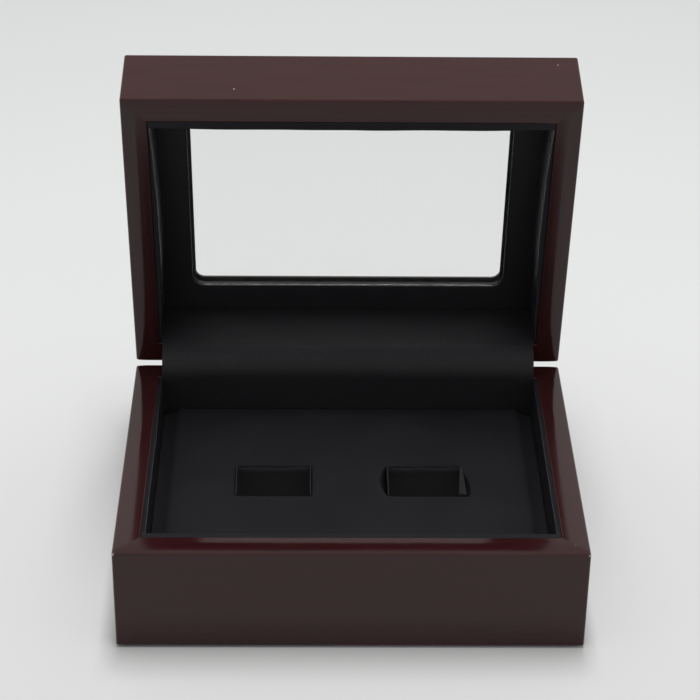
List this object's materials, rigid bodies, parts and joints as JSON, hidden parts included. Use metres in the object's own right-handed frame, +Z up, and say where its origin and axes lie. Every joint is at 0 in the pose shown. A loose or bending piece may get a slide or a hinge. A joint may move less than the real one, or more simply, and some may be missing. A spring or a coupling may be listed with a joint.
{
  "type": "cufflink display box",
  "caption": "Lacquered wooden display box with a hinged windowed lid, a leatherette lining and a padded insert with slots for cufflinks.",
  "frame": {"origin": "middle of the underside, on the surface that the box stands on", "axes": "+X to the right as seen from the front, +Y to the back where the hinges are, +Z up; the lid is open at rest"},
  "size_m": [0.16, 0.1482, 0.1639],
  "materials": {
    "mahogany_lacquer": "glossy clear-coated dark mahogany",
    "black_leatherette": "fine-grained satin leatherette",
    "black_suede": "short-napped suede cloth",
    "foam": "open-cell foam",
    "black_felt": "felt",
    "clear_pane": "polished clear sheet",
    "brass": "brushed"
  },
  "bodies": {
    "base": {"base_front_board": "mahogany_lacquer", "base_back_board": "mahogany_lacquer", "base_left_board": "mahogany_lacquer", "base_right_board": "mahogany_lacquer", "base_floor_panel": "mahogany_lacquer", "base_felt_sheet": "black_felt", "base_front_liner": "black_leatherette", "base_left_liner": "black_leatherette", "base_right_liner": "black_leatherette", "insert_foam_block": "foam", "insert_cover": "black_suede", "left_slot_lining": "black_suede", "right_slot_lining": "black_suede", "left_hinge_base_leaf": "brass", "right_hinge_base_leaf": "brass", "left_hinge_pin": "brass", "right_hinge_pin": "brass", "base_hinge_screws": "brass", "hinge_flap": "black_leatherette"},
    "lid": {"lid_front_board": "mahogany_lacquer", "lid_back_board": "mahogany_lacquer", "lid_left_board": "mahogany_lacquer", "lid_right_board": "mahogany_lacquer", "lid_top_panel": "mahogany_lacquer", "window_pane": "clear_pane", "window_liner_frame": "black_leatherette", "lid_front_liner": "black_leatherette", "lid_left_liner": "black_leatherette", "lid_right_liner": "black_leatherette", "left_hinge_lid_leaf": "brass", "right_hinge_lid_leaf": "brass", "lid_hinge_screws": "brass"}
  },
  "joints": [
    {"name": "lid_hinge", "type": "hinge", "parent": "base", "child": "lid", "pos_m": [0, 0.0608, 0.04015], "axis": [1, 0, 0], "range_deg": [0, 79.5], "deforming": ["hinge_flap"]}
  ]
}
